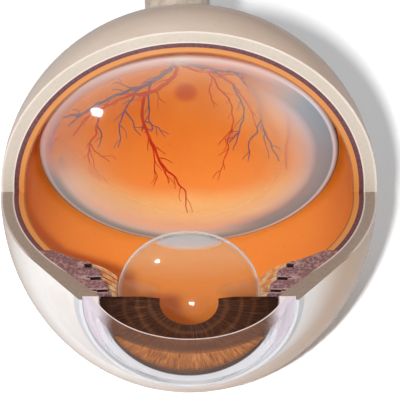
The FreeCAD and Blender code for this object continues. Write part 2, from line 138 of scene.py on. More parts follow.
def diagonal(tree, across, along):
    """The distance that two distances at right angles make."""
    return length_of(tree, add(tree, "ShaderNodeCombineXYZ", {0: across, 1: along}))


def measure(tree, vector, way):
    """How far a vector reaches along a direction."""
    return add(tree, "ShaderNodeVectorMath", {0: vector, 1: way}, output="Value", operation="DOT_PRODUCT")


def finished(material, shader, colour, height=None, strength=0.0, distance=0.0):
    """Paints a material, may press a pattern into it by a distance in metres, and returns it."""
    tree = material.node_tree
    tree.links.new(colour, shader.inputs["Base Color"])
    if height:
        normal = add(tree, "ShaderNodeBump", {"Height": height, "Strength": strength, "Distance": distance})
        tree.links.new(normal, shader.inputs["Normal"])
    return material


def dress(node, material):
    """Gives a CAD piece its finish."""
    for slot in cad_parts[node].material_slots:
        slot.material = material


SCLERA_ROUGHNESS, SCLERA_COAT = 0.38, 0.5
SEAT_ROUGHNESS = 0.9

# In mm from the centre: both faces of the sclera, the plane of the cornea's seat, and the
# painted lip, which is part of an oval with its middle a little below the centre.
OUTER_FACE, INNER_FACE = RADIUS / MM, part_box("choroid_rear")[1].x / MM
SEAT_DEPTH = -53.4
LIP_DROP, LIP_WIDTH, LIP_HEIGHT = 1.2, 27.0, 29.9


def shaded_mottled_ivory(tree, place, fine, toward_painted_shade, shades):
    """The outside, which painted shade turns from ivory to beige in one direction, with a faint mottle."""
    start, end, ivory, beige = shades
    # Painted shade: the ivory turns beige along one direction.
    ground = tint(tree, fade(tree, measure(tree, place, toward_painted_shade), start, end), ivory, beige)
    pink = times(tree, fade(tree, mottle(tree, place, 0.035), 0.4, 0.7), 0.2)
    grey = times(tree, fade(tree, fine, 0.5, 0.9), 0.15)
    return painted(tree, ground, (pink, srgb(214, 186, 168)), (grey, srgb(196, 170, 156)))


def painted_cut(tree, place, paint, grain_paint):
    """The cut face, in one tone with a fine grain and with a painted highlight along both edges."""
    grain = times(tree, fade(tree, mottle(tree, place, 0.9, 6.0), 0.35, 0.7), 0.5)
    reach = length_of(tree, place)
    # Painted highlights: along the outer edge except at the front, and along the inner edge.
    outer = times(tree, fade(tree, reach, OUTER_FACE - 0.8, OUTER_FACE - 0.5),
                  fade(tree, part_of(tree, place, 1), -36.0, -30.0))
    inner = fade(tree, reach, INNER_FACE + 0.7, INNER_FACE + 0.3)
    edges = calc(tree, "MAXIMUM", times(tree, outer, 0.5), times(tree, inner, 0.6))
    return painted(tree, paint, (grain, grain_paint), (edges, srgb(250, 238, 230)))


def cornea_seat(tree, shader, place, on_cut, ground, lip_paint):
    """Makes the cornea's seat white and matt, and paints the lip below the iris on it."""
    across = calc(tree, "DIVIDE", part_of(tree, place, 0), LIP_WIDTH)
    above = calc(tree, "ADD", part_of(tree, place, 2), LIP_DROP)
    reach = diagonal(tree, across, calc(tree, "DIVIDE", above, LIP_HEIGHT))
    ahead = fade(tree, part_of(tree, place, 1), SEAT_DEPTH + 0.2, SEAT_DEPTH - 0.2)
    seat = times(tree, ahead, calc(tree, "SUBTRACT", 1.0, on_cut))
    for socket, elsewhere, here in (("Roughness", SCLERA_ROUGHNESS, SEAT_ROUGHNESS),
                                    ("Coat Weight", SCLERA_COAT, 0.0)):
        value = add(tree, "ShaderNodeMapRange", {"Value": seat, "To Min": elsewhere, "To Max": here})
        tree.links.new(value, shader.inputs[socket])
    lip = times(tree, fade(tree, reach, 1.01, 0.99), seat)
    shaded = tint(tree, fade(tree, reach, 0.88, 0.99), srgb(120, 70, 36), lip_paint)
    return painted(tree, ground, (seat, srgb(214, 213, 216)), (lip, shaded))


def sclera_plastic(name, toward_painted_shade, shades, cut_axis, cut_side, cut_paints, lip_paint=None):
    """The moulding's finish.

    The shades are where the painted shade starts to turn the ivory and where it has turned
    it beige, and both colours. The cut face lies across one axis, at one side of the centre,
    and has two paints. With a paint for the lip, the moulding has the cornea's seat as well.
    """
    material, tree, shader = plastic(name, SCLERA_ROUGHNESS, coat=SCLERA_COAT, coat_roughness=0.12)
    place = place_in(tree)
    fine = mottle(tree, place, 0.35, 5.0)
    on_cut = fade(tree, times(tree, part_of(tree, place, cut_axis), cut_side), -0.12, -0.04)
    coloured = tint(tree, on_cut, shaded_mottled_ivory(tree, place, fine, toward_painted_shade, shades),
                    painted_cut(tree, place, *cut_paints))
    if lip_paint:
        coloured = cornea_seat(tree, shader, place, on_cut, coloured, lip_paint)
    return finished(material, shader, coloured, fine, 0.05, 0.4 * MM)


# Each outside turns from ivory to beige in painted shade, along the direction given first.
dress("sclera_rear", sclera_plastic(
    "sclera_ivory_rear", (0.55, 0.9, 0.0), (-20.0, 56.0, srgb(255, 232, 212), srgb(239, 200, 172)),
    1, -1.0, (srgb(214, 202, 186), srgb(204, 191, 174))))
# The front quarter's cut face is painted darker than the rear's, as painted shade.
dress("sclera_front", sclera_plastic(
    "sclera_ivory_front", (0.22, 0.93, -0.25), (-42.0, -20.0, srgb(252, 247, 243), srgb(204, 168, 137)),
    2, 1.0, (srgb(160, 142, 127), srgb(140, 122, 108)), srgb(54, 24, 10)))


# ---- Choroid and retina ----
# Two thin coats line the bowl. The choroid is a plum-brown layer that shows only at the
# cut rims; the retina is glossy orange, lighter low down and towards the front, with the
# macula as a soft darker spot beside the optic disc.

RETINA_THICK = 2.07 * MM
RETINA_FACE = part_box("retina_rear")[1].x - RETINA_THICK


def toward(turn, rise):
    """The direction that lies so many degrees right of the rear pole and above it."""
    turn, rise = radians(turn), radians(rise)
    return Vector((sin(turn) * cos(rise), cos(turn) * cos(rise), sin(rise)))


def choroid_plastic():
    """Plum-brown with a fine darker grain."""
    material, tree, shader = plastic("choroid_plum", 0.45, coat=0.2)
    grain = fade(tree, mottle(tree, place_in(tree), 1.1, 5.0), 0.35, 0.7)
    return finished(material, shader, tint(tree, grain, srgb(120, 74, 78), srgb(92, 52, 60)))


MACULA = toward(-1.1, 4.8)
MACULA_CORE, MACULA_EDGE = cos(radians(1.2)), cos(radians(5.6))

# The pale arc on the bowl's floor is painted light, a glow under the vitreous body's rim,
# and is part of an oval on a plane that leans back. In mm: how far up the plane its middle
# lies, and its half axes across and up the plane.
ARC_LEAN = radians(35.4)
ARC_UPWARD = (0.0, sin(ARC_LEAN), cos(ARC_LEAN))
ARC_MIDDLE, ARC_WIDE, ARC_HIGH = 17.2, 47.7, 29.1


def painted_glow_arc(tree, place):
    """1 in the pale arc of painted light, which runs round under the vitreous body and is wider at its ends.
    """
    above = calc(tree, "SUBTRACT", measure(tree, place, ARC_UPWARD), ARC_MIDDLE)
    across = calc(tree, "DIVIDE", part_of(tree, place, 0), ARC_WIDE)
    reach = diagonal(tree, across, calc(tree, "DIVIDE", above, ARC_HIGH))
    inner = calc(tree, "SUBTRACT", reach, times(tree, calc(tree, "ABSOLUTE", across), 0.28))
    oval = times(tree, fade(tree, inner, 0.48, 0.75), fade(tree, reach, 1.0, 0.94))
    return times(tree, oval, fade(tree, above, -6.0, -16.0))


def retina_plastic():
    """Orange with the pale arc of painted light, a fine speckle and the macula; browner on the cut rim."""
    material, tree, shader = plastic("retina_orange", 0.4, coat=0.2, coat_roughness=0.25)
    place = place_in(tree)
    clouds = fade(tree, mottle(tree, place, 0.05), 0.3, 0.7)
    speckle = mottle(tree, place, 0.8, 6.0)
    direction = add(tree, "ShaderNodeVectorMath", {0: place}, operation="NORMALIZE")
    orange = painted(
        tree, tint(tree, clouds, srgb(242, 140, 42), srgb(234, 124, 32)),
        (fade(tree, part_of(tree, place, 2), 0.0, -34.0), srgb(255, 156, 66)),
        (fade(tree, part_of(tree, place, 1), 2.0, -30.0), srgb(246, 132, 34)),
        # The pale arc is painted light.
        (painted_glow_arc(tree, place), srgb(255, 206, 134)),
        (fade(tree, speckle, 0.6, 1.0), srgb(214, 92, 26)),
        (fade(tree, measure(tree, direction, MACULA), MACULA_EDGE, MACULA_CORE), srgb(206, 84, 38)))
    # Painted shade darkens the cut rim towards its inner edge.
    depth = calc(tree, "SUBTRACT", length_of(tree, place), RETINA_FACE / MM)
    cut = tint(tree, fade(tree, depth, 0.75, 0.2), srgb(224, 148, 78), srgb(166, 100, 58))
    whole = tint(tree, fade(tree, depth, 0.02, 0.05), orange, cut)
    return finished(material, shader, whole, speckle, 0.04, 0.3 * MM)


choroid_plum = choroid_plastic()
dress("choroid_rear", choroid_plum)
dress("choroid_front", choroid_plum)
retina_orange = retina_plastic()
dress("retina_rear", retina_orange)
dress("retina_front", retina_orange)


# ---- Retinal vessels ----
# The vessels fan out from the optic disc as fine raised lines, moulded with the retina
# and painted by hand: arteries clear red, veins grey-violet. Each line wavers and tapers
# as it runs, and short twigs leave it at a slant.

def placed(name, data):
    """A new object in the scene."""
    made = bpy.data.objects.new(name, data)
    bpy.context.scene.collection.objects.link(made)
    return made


def curve_of(name, lines, girth=1.0, resolution=6):
    """A curve object of NURBS lines; each line is its points with its first and last radius."""
    data = bpy.data.curves.new(name, "CURVE")
    data.dimensions = "3D"
    data.resolution_u = resolution
    for points, first, last in lines:
        spline = data.splines.new("NURBS")
        spline.points.add(len(points) - 1)
        for number, (target, point) in enumerate(zip(spline.points, points)):
            share = number / (len(points) - 1)
            target.co = (*point, 1)
            target.radius = girth * (first + (last - first) * share)
        spline.order_u = 3
        spline.use_endpoint_u = True
    return placed(name, data)


def grow(piece, tree, values):
    """Runs a geometry tree on a piece and returns the plain mesh that comes out."""
    modifier = piece.modifiers.new("grow", "NODES")
    modifier.node_group = tree
    for item in tree.interface.items_tree:
        if item.in_out == "INPUT" and item.name in values:
            modifier[item.identifier] = values[item.name]
    bpy.context.view_layer.update()
    evaluated = piece.evaluated_get(bpy.context.evaluated_depsgraph_get())
    mesh = bpy.data.meshes.new_from_object(evaluated)
    name = piece.name
    bpy.data.objects.remove(piece)
    mesh.name = name
    return placed(name, mesh)


def new_tree(name, inputs):
    """An empty geometry tree with named inputs, and their sockets inside it."""
    tree = bpy.data.node_groups.new(name, "GeometryNodeTree")
    tree.interface.new_socket("Geometry", in_out="INPUT", socket_type="NodeSocketGeometry")
    for label, kind in inputs.items():
        tree.interface.new_socket(label, in_out="INPUT", socket_type=f"NodeSocket{kind}")
    tree.interface.new_socket("Geometry", in_out="OUTPUT", socket_type="NodeSocketGeometry")
    return tree, tree.nodes.new("NodeGroupInput").outputs


def end_tree(tree, geometry, material):
    """Closes a geometry tree with plain smooth geometry that carries its finish."""
    whole = add(tree, "GeometryNodeRealizeInstances", {"Geometry": geometry})
    smooth = add(tree, "GeometryNodeSetShadeSmooth", {"Geometry": whole})
    finished = add(tree, "GeometryNodeSetMaterial", {"Geometry": smooth, "Material": material})
    tree.links.new(finished, tree.nodes.new("NodeGroupOutput").inputs[0])
    return tree


def tube_along(tree, curve, sides):
    """Round tubes along curves, of the curves' own radii."""
    profile = add(tree, "GeometryNodeCurvePrimitiveCircle", {"Resolution": sides, "Radius": 1.0})
    girth = add(tree, "GeometryNodeInputRadius")
    return add(tree, "GeometryNodeCurveToMesh", {
        "Curve": curve, "Profile Curve": profile, "Fill Caps": True, "Scale": girth})


def move(tree, operation, first, second):
    """Adds two vectors, or subtracts the second from the first."""
    return add(tree, "ShaderNodeVectorMath", {0: first, 1: second}, operation=operation)


def stretch(tree, vector, factor):
    return add(tree, "ShaderNodeVectorMath", {0: vector, "Scale": factor}, operation="SCALE")


def vessel_tree():
    """Lays wavering curves on the retina's ball and gives them their thickness."""
    tree, given = new_tree("vessels_on_retina", {
        "Centre": "Vector", "Ball Radius": "Float", "Step": "Float", "Waver": "Float",
        "Waver Scale": "Float", "Sides": "Int", "Finish": "Material"})
    even = add(tree, "GeometryNodeResampleCurve", {"Curve": given["Geometry"], "Length": given["Step"]},
               mode="LENGTH")
    place = add(tree, "GeometryNodeInputPosition")
    noise = add(tree, "ShaderNodeTexNoise", {"Vector": place, "Scale": given["Waver Scale"], "Detail": 1.0},
                output="Color")
    sway = stretch(tree, move(tree, "SUBTRACT", noise, (0.5, 0.5, 0.5)), given["Waver"])
    arm = move(tree, "SUBTRACT", move(tree, "ADD", place, sway), given["Centre"])
    outward = add(tree, "ShaderNodeVectorMath", {0: arm}, operation="NORMALIZE")
    spot = move(tree, "ADD", stretch(tree, outward, given["Ball Radius"]), given["Centre"])
    laid = add(tree, "GeometryNodeSetPosition", {"Geometry": even, "Position": spot})
    return end_tree(tree, tube_along(tree, laid, given["Sides"]), given["Finish"])


def vessel_plastic(name, main, dark):
    """Glossy enamel with darker stretches."""
    material, tree, shader = plastic(name, 0.3, coat=0.4)
    shade = fade(tree, mottle(tree, place_in(tree), 0.5), 0.35, 0.7)
    return finished(material, shader, tint(tree, shade, main, dark))


# Each line: its points in degrees right of the rear pole and above it, then its radii in mm
# at both ends, which the girth makes larger.
ARTERIES = [
    ([(-4.6, 19.0), (-4.8, 15.0), (-6.2, 11.4), (-9.7, 8.3), (-13.5, 6.0), (-17.3, 5.7), (-22.4, 6.4),
      (-26.4, 5.7), (-30.5, 4.7), (-35.2, 3.7), (-39.3, 3.1), (-44.0, 2.1)], 0.62, 0.24),
    ([(-16.5, 5.6), (-17.7, -1.5), (-17.6, -7.9), (-16.3, -12.6), (-14.3, -17.3), (-12.6, -21.8),
      (-10.1, -25.9), (-6.0, -28.8), (-3.1, -32.7), (-1.4, -37.6), (-0.5, -42.9)], 0.46, 0.14),
    ([(-16.3, -12.6), (-14.8, -19.2), (-13.9, -22.4), (-13.8, -25.5), (-13.9, -29.3),
      (-15.3, -32.2)], 0.22, 0.1),
    ([(-12.6, -21.8), (-10.9, -25.8), (-10.0, -29.7), (-9.3, -32.0)], 0.2, 0.1),
    ([(-34.6, 3.6), (-36.0, -4.8), (-40.0, -8.3), (-41.6, -11.8), (-41.9, -17.0),
      (-42.1, -22.2)], 0.34, 0.14),
    ([(-40.1, -8.6), (-37.7, -13.7), (-35.5, -16.5), (-32.8, -18.6)], 0.2, 0.1),
    ([(-40.6, -10.0), (-39.7, -17.9), (-39.4, -22.0), (-38.7, -25.4)], 0.18, 0.09),
    ([(-15.4, 5.8), (-12.4, 6.7), (-11.6, 2.9), (-9.3, -0.1)], 0.2, 0.09),
    ([(-39.0, 3.1), (-44.0, 1.6), (-47.7, -1.9)], 0.38, 0.24),
    ([(-54.4, -11.2), (-57.2, -13.9), (-60.4, -15.1)], 0.42, 0.26),
    ([(-57.2, 3.4), (-58.3, 1.7), (-60.5, -1.4), (-64.0, -2.6)], 0.42, 0.26),
    ([(-3.6, 19.4), (0.4, 16.7), (4.2, 16.0), (8.8, 15.9), (11.9, 15.4), (17.7, 15.3), (23.7, 14.2),
      (30.0, 13.4), (36.0, 9.4)], 0.46, 0.24),
    ([(11.2, 15.6), (18.5, 7.8), (23.2, -0.2), (26.7, -6.2)], 0.34, 0.2),
    ([(7.6, 15.9), (9.8, 10.2), (12.3, 5.7), (15.4, 3.4), (16.6, -2.6), (16.5, -9.3), (13.5, -13.0),
      (11.8, -16.8)], 0.28, 0.12),
    ([(16.5, -8.6), (14.4, -14.5), (15.6, -18.3), (14.0, -23.2), (13.9, -26.2), (12.6, -30.0)], 0.18, 0.08),
    ([(8.6, 13.9), (7.8, 7.1), (8.6, 1.6), (9.3, -1.9)], 0.2, 0.09),
    ([(29.0, 13.6), (36.8, 8.0), (39.7, 1.9), (40.0, -4.1), (39.7, -11.7), (41.8, -18.2)], 0.42, 0.26),
    ([(40.0, -3.6), (44.5, -5.5), (48.5, -7.9)], 0.32, 0.2),
    ([(28.0, 2.8), (30.6, -1.5), (33.4, -5.7), (37.2, -7.7)], 0.22, 0.1),
]
VEINS = [
    ([(-5.6, 21.6), (-6.2, 19.6), (-8.0, 16.6), (-11.0, 13.5), (-14.4, 10.9), (-19.4, 9.0), (-24.5, 8.4),
      (-29.8, 7.7), (-33.2, 6.9), (-38.0, 6.4), (-43.1, 5.9), (-46.6, 6.1)], 0.6, 0.26),
    ([(-18.6, 9.2), (-20.1, 7.2), (-22.4, 4.1), (-25.2, -0.6), (-26.7, -5.8), (-26.7, -11.1),
      (-28.1, -14.8)], 0.36, 0.13),
    ([(-24.8, 0.2), (-22.5, -4.3), (-21.1, -8.0), (-19.1, -12.5)], 0.22, 0.1),
    ([(-14.6, 10.8), (-15.0, 4.6), (-14.4, 0.2), (-15.1, -4.1), (-13.8, -9.7), (-15.0, -11.6)], 0.3, 0.12),
    ([(-16.9, -6.2), (-14.8, -6.7), (-12.8, -9.0), (-11.1, -11.7), (-8.5, -14.4)], 0.16, 0.08),
    ([(-35.0, 6.6), (-36.2, -1.7), (-34.5, -7.5), (-36.9, -12.0)], 0.3, 0.12),
    ([(-22.0, 8.6), (-23.8, 10.6), (-26.9, 13.7), (-30.4, 14.4)], 0.2, 0.09),
    ([(-43.4, 5.9), (-49.3, 7.5), (-53.9, 8.1)], 0.38, 0.24),
    ([(-42.2, 6.0), (-46.1, 4.9), (-50.2, 2.5)], 0.34, 0.2),
    ([(-56.2, 8.2), (-57.9, 6.8), (-61.0, 3.2), (-63.9, 0.6)], 0.42, 0.26),
    ([(-54.6, -7.0), (-56.2, -9.0), (-58.1, -11.3)], 0.4, 0.24),
    ([(-3.0, 21.6), (-1.2, 20.2), (2.3, 18.2), (8.1, 17.4), (14.3, 16.9), (19.9, 16.9), (26.3, 15.6),
      (34.3, 14.4), (43.3, 12.0)], 0.54, 0.22),
    ([(9.6, 17.2), (11.8, 14.7), (16.3, 9.8), (19.6, 3.4), (20.5, -3.1), (20.1, -10.3), (17.0, -12.6),
      (15.7, -15.6)], 0.36, 0.13),
    ([(20.3, -8.0), (18.6, -13.9), (17.4, -18.6)], 0.2, 0.1),
    ([(17.6, 17.0), (19.7, 15.2), (24.2, 10.3), (27.2, 3.1), (28.3, -5.3), (32.5, -12.3), (38.0, -17.2)],
     0.42, 0.2),
    ([(28.0, -3.6), (24.0, -12.6), (23.7, -16.7), (24.4, -21.3)], 0.24, 0.11),
    ([(28.9, -6.6), (30.4, -12.9), (32.9, -17.4)], 0.2, 0.1),
]
VESSEL_GIRTH = 1.35

# A twig's least radius in mm, and the limits in degrees of its slant, bend and length.
TWIG_RADIUS = 0.1
TWIG_SLANT, TWIG_BEND, TWIG_LENGTH = (30, 60), (0, 30), (3.0, 7.5)


def twigs(lines, seed):
    """Short side branches, one from each inner point of the lines."""
    chance = random.Random(seed)
    made = []
    for angles, first, last in lines:
        for number in range(2, len(angles) - 1):
            start, onward = Vector(angles[number]), Vector(angles[number + 1])
            way, side = (onward - start).normalized(), chance.choice((-1, 1))
            slant, bend = chance.uniform(*TWIG_SLANT), chance.uniform(*TWIG_BEND)
            half = chance.uniform(*TWIG_LENGTH) / 2
            middle = start + Matrix.Rotation(radians(side * slant), 2) @ way * half
            end = middle + Matrix.Rotation(radians(side * bend), 2) @ way * half
            girth = (first + (last - first) * number / len(angles)) / 2
            made.append(([start, middle, end], max(girth, TWIG_RADIUS), TWIG_RADIUS * 0.8))
    return made


def vessels(name, lines, seed, material, node):
    """One colour of vessel, laid on the retina in place of its plain lines."""
    routes = []
    for angles, first, last in lines + twigs(lines, seed):
        routes.append(([CENTRE + toward(*pair) * RETINA_FACE for pair in angles], first * MM, last * MM))
    piece = grow(curve_of(name, routes, VESSEL_GIRTH), vessel_tree(), {
        "Centre": CENTRE, "Ball Radius": RETINA_FACE, "Step": 0.6 * MM, "Waver": 3.0 * MM,
        "Waver Scale": 200.0, "Sides": 8, "Finish": material})
    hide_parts(node)
    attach(piece, "eyeball")


artery_red = vessel_plastic("artery_red", srgb(214, 44, 26), srgb(190, 32, 20))
vein_violet = vessel_plastic("vein_violet", srgb(116, 84, 138), srgb(92, 60, 112))
vessels("artery_lines", ARTERIES, 3, artery_red, "retinal_arteries")
vessels("vein_lines", VEINS, 8, vein_violet, "retinal_veins")


# ---- Optic nerve ----
# The nerve leaves the back of the globe as a stub: a pale fibrous core in its own
# ivory sheath, with the central artery and vein showing as two dots at the cut end.
# The optic disc is its pale yellow plug inside the bowl.

NERVE_WAY = toward(-3.2, 22.0)
NERVE_END = CENTRE + NERVE_WAY * 85 * MM
DISC_MIDDLE = CENTRE + NERVE_WAY * RETINA_FACE


def nerve_plastic():
    """Cream, in bundles of fibres with darker seams."""
    material, tree, shader = plastic("nerve_fibres", 0.5)
    bundle = add(tree, "ShaderNodeTexVoronoi", {"Vector": place_in(tree, NERVE_END), "Scale": 0.75},
                 output="Distance", feature="DISTANCE_TO_EDGE")
    cream = tint(tree, fade(tree, bundle, 0.0, 0.12), srgb(196, 160, 104), srgb(238, 214, 160))
    return finished(material, shader, cream, bundle, 0.4, 0.6 * MM)


def sheath_plastic():
    """Ivory with brownish streaks."""
    material, tree, shader = plastic("sheath_ivory", 0.42, coat=0.35)
    streaks = add(tree, "ShaderNodeTexNoise", {
        "Vector": place_in(tree), "Scale": 0.3, "Detail": 4.0, "Distortion": 0.6})
    ivory = tint(tree, fade(tree, streaks, 0.35, 0.7), srgb(222, 206, 190), srgb(198, 178, 160))
    return finished(material, shader, ivory, streaks, 0.12, 0.5 * MM)


def disc_plastic():
    """Pale yellow that turns to the retina's orange at its edge."""
    material, tree, shader = plastic("disc_yellow", 0.35, coat=0.3)
    reach = length_of(tree, place_in(tree, DISC_MIDDLE))
    yellow = tint(tree, fade(tree, reach, 1.2, 4.0), srgb(250, 226, 176), srgb(240, 172, 104))
    return finished(material, shader, yellow)


dress("optic_nerve", nerve_plastic())
dress("optic_nerve_sheath", sheath_plastic())
dress("optic_disc", disc_plastic())
dress("central_artery", artery_red)
dress("central_vein", vein_violet)


# ---- Ciliary body and folds ----
# A wedge of muscle runs round inside the front of the sclera and carries the ciliary
# processes: leaves with rounded lobes, cast in violet-brown resin and dry-brushed with
# pale pink. The clefts between the folds are painted dark as shade, with a painted
# highlight round each, so that each lobe shows its edge.

# Clefts between the folds at the cut, painted dark as shade: half width, distance from the
# middle and depth, in mm.
CLEFTS = [(1.7, 31.0, -37.7), (2.9, 28.4, -44.6), (3.5, 26.0, -51.0)]
CLEFT_HEIGHT = 0.62


def cleft_reach(tree, place):
    """Distance from the nearest cleft, 1 on its outline, as a share of its size."""
    side, depth = calc(tree, "ABSOLUTE", part_of(tree, place, 0)), part_of(tree, place, 1)
    nearest = None
    for half, middle, level in CLEFTS:
        across = calc(tree, "DIVIDE", calc(tree, "SUBTRACT", side, middle), half)
        along = calc(tree, "DIVIDE", calc(tree, "SUBTRACT", depth, level), CLEFT_HEIGHT)
        reach = diagonal(tree, across, along)
        nearest = calc(tree, "MINIMUM", nearest, reach) if nearest else reach
    return nearest


def ciliary_plastic(name, dark, middle, pale, scale):
    """Clouded brown, pale cell edges, clefts painted dark as shade with a painted highlight round them."""
    material, tree, shader = plastic(name, 0.45, coat=0.25)
    place = place_in(tree)
    cells = add(tree, "ShaderNodeTexVoronoi", {"Vector": place, "Scale": scale}, output="Distance")
    clouds = fade(tree, mottle(tree, place, 0.7, 6.0), 0.35, 0.68)
    reach = cleft_reach(tree, place)
    brown = painted(tree, tint(tree, clouds, dark, middle),
                    (fade(tree, cells, 0.5, 0.8), pale),
                    # A painted highlight round each cleft, and the cleft itself in painted shade.
                    (times(tree, fade(tree, reach, 2.3, 1.5), 0.8), srgb(196, 162, 160)),
                    (fade(tree, reach, 1.15, 0.8), srgb(44, 22, 24)))
    return finished(material, shader, brown, cells, 0.35, 0.4 * MM)


dress("ciliary_body", ciliary_plastic(
    "ciliary_muscle_brown", srgb(118, 82, 84), srgb(142, 104, 104), srgb(172, 134, 130), 1.0))
dress("ciliary_processes", ciliary_plastic(
    "ciliary_fold_violet", srgb(112, 74, 80), srgb(148, 108, 114), srgb(184, 146, 146), 1.2))


# ---- Zonule fibres ----
# The lens hangs in a fan of fine translucent threads. They are drawn nylon bristles set
# into the folds' skin, five rows deep, and stop just short of the lens's edge so that
# the lens can be lifted out.

LENS_LOW, LENS_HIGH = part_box("lens")
LENS_MIDDLE = (LENS_LOW + LENS_HIGH) / 2
LENS_RADIUS = LENS_HIGH.x
EQUATOR = -50.4 * MM
LENS_AXIS = Vector((0, EQUATOR, LENS_MIDDLE.z))
FIBRE_REACH = LENS_RADIUS + 0.5 * MM

# One row each, in mm: radius and depth at the skin, depth at the lens, and bow between.
FIBRE_ROWS = [(32.8, 34.6, 42.2, 1.5), (32.2, 37.4, 44.4, 1.3), (31.6, 40.6, 46.4, 1.0),
              (31.0, 43.6, 48.2, 0.7), (30.2, 49.6, 50.6, 0.3)]
FIBRE_RADII = (0.25 * MM, 0.15 * MM)


def fibre_tree():
    """Repeats a few bristles round the lens under the cut, with a little disorder."""
    tree, given = new_tree("zonule_fan", {
        "Axis": "Vector", "Count": "Int", "First Angle": "Float", "Last Angle": "Float",
        "Disorder": "Float", "Seed": "Int", "Sides": "Int", "Finish": "Material"})
    index = add(tree, "GeometryNodeInputIndex")
    share = calc(tree, "DIVIDE", index, calc(tree, "SUBTRACT", given["Count"], 1.0))
    span = calc(tree, "SUBTRACT", given["Last Angle"], given["First Angle"])
    angle = calc(tree, "ADD", given["First Angle"], times(tree, span, share))
    stray = add(tree, "FunctionNodeRandomValue", {
        2: times(tree, given["Disorder"], -1.0), 3: given["Disorder"], "ID": index,
        "Seed": given["Seed"]}, output=1, data_type="FLOAT")
    turn = add(tree, "FunctionNodeAxisAngleToRotation", {
        "Axis": (0, 1, 0), "Angle": calc(tree, "ADD", angle, stray)})
    points = add(tree, "GeometryNodePoints", {"Count": given["Count"], "Position": given["Axis"]})
    fan = add(tree, "GeometryNodeInstanceOnPoints", {
        "Points": points, "Instance": given["Geometry"], "Rotation": turn})
    whole = add(tree, "GeometryNodeRealizeInstances", {"Geometry": fan})
    return end_tree(tree, tube_along(tree, whole, given["Sides"]), given["Finish"])


def fibre_plastic():
    """Straw-coloured to amber, and a little translucent."""
    material, tree, shader = plastic("zonule_nylon", 0.35, coat=0.3)
    amber = fade(tree, mottle(tree, place_in(tree), 0.4), 0.35, 0.65)
    shader.inputs["Alpha"].default_value = 0.85
    return finished(material, shader, tint(tree, amber, srgb(255, 224, 176), srgb(238, 158, 92)))


bristles = []
for skin_radius, skin_depth, lens_depth, rise in FIBRE_ROWS:
    start = Vector((skin_radius * MM, -skin_depth * MM - EQUATOR, 0))
    end = Vector((FIBRE_REACH, -lens_depth * MM - EQUATOR, 0))
    bow = Vector((0, rise * MM, 0))
    bristles.append(([start, start.lerp(end, 0.35) + bow, start.lerp(end, 0.75) + bow, end], *FIBRE_RADII))
zonule = grow(curve_of("zonule_bristles", bristles, resolution=2), fibre_tree(), {
    "Axis": LENS_AXIS, "Count": 111, "First Angle": radians(1.0), "Last Angle": radians(179.0),
    "Disorder": radians(0.7), "Seed": 7, "Sides": 6, "Finish": fibre_plastic()})
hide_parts("zonule_fibres")
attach(zonule, "eyeball")


# ---- Iris ----
# A half ring behind the cornea, moulded with a raised collarette and fine radial fibres,
# and painted dark brown round the pupil and at the cut, as painted shade, and golden
# brown lower down where it shows through the cornea.

IRIS_LOW, IRIS_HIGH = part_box("iris")
IRIS_FRONT, IRIS_BACK = IRIS_LOW.y, IRIS_HIGH.y
IRIS_RADIUS = IRIS_HIGH.x
IRIS_STEPS, PROFILE_STEPS = 420, 44
PUPIL_RADIUS = 8.8 * MM
COLLARETTE_RADIUS, COLLARETTE_WIDTH, COLLARETTE_RISE = 14.5 * MM, 2.6 * MM, 0.45 * MM
AXIS_DROP = CENTRE.z - LENS_AXIS.z


def under_cut(radius, share):
    """The angle about the optical axis, 0 to the right and turning down, whose ends lie in the cut."""
    above = asin(AXIS_DROP / radius)
    return -above + (pi + 2 * above) * share


def half_turned(name, profile, steps, ripple):
    """A closed profile of radius and y, turned under the cut about the optical axis."""
    rows = []
    for step in range(steps + 1):
        for radius, depth, free in profile:
            angle = under_cut(radius, step / steps)
            depth_here = depth + free * ripple(radius, angle)
            rows.append((radius * cos(angle), depth_here, LENS_AXIS.z - radius * sin(angle)))
    count = len(profile)
    faces = []
    for step in range(steps):
        for corner in range(count):
            following = (corner + 1) % count
            faces.append((step * count + corner, step * count + following,
                          (step + 1) * count + following, (step + 1) * count + corner))
    faces.append(tuple(range(count)))
    faces.append(tuple(steps * count + corner for corner in reversed(range(count))))
    mesh = bpy.data.meshes.new(name)
    mesh.from_pydata(rows, [], faces)
    return placed(name, mesh)


def iris_ripple(radius, angle):
    """Height of the moulded fibres: two combs that drift against each other, deeper outside."""
    out = (radius - PUPIL_RADIUS) / (IRIS_RADIUS - PUPIL_RADIUS)
    comb = sin(angle * 96 + 2.2 * sin(9 * out))
    comb += 0.6 * sin(angle * 151 - 3.1 * sin(6 * out))
    furrows = sin(radius / MM * 1.3 + 1.6 * sin(angle * 5))
    return (0.09 * comb * (0.2 + 0.8 * out) + 0.1 * furrows * out) * MM


def iris_profile():
    """Back, pupil margin, collarette and outer zone, as radius, y and share of ripple."""
    points = [(IRIS_RADIUS, IRIS_BACK, 0.0), (PUPIL_RADIUS + 5.0 * MM, IRIS_BACK, 0.0),
              (PUPIL_RADIUS + 0.15 * MM, IRIS_BACK - 0.9 * MM, 0.0),
              (PUPIL_RADIUS, IRIS_FRONT + 0.7 * MM, 0.0)]
    for step in range(PROFILE_STEPS + 1):
        share = step / PROFILE_STEPS
        radius = PUPIL_RADIUS + 0.5 * MM + (IRIS_RADIUS - PUPIL_RADIUS - 0.7 * MM) * share
        ridge = exp(-((radius - COLLARETTE_RADIUS) / COLLARETTE_WIDTH) ** 2)
        depth = 0.7 * MM + 0.05 * MM * share - COLLARETTE_RISE * ridge * (1 - 0.1 * share)
        points.append((radius, IRIS_FRONT + depth, min(1.0, (1 - share) * 9, share * 9)))
    points.append((IRIS_RADIUS, IRIS_FRONT + 0.95 * MM, 0.0))
    return points


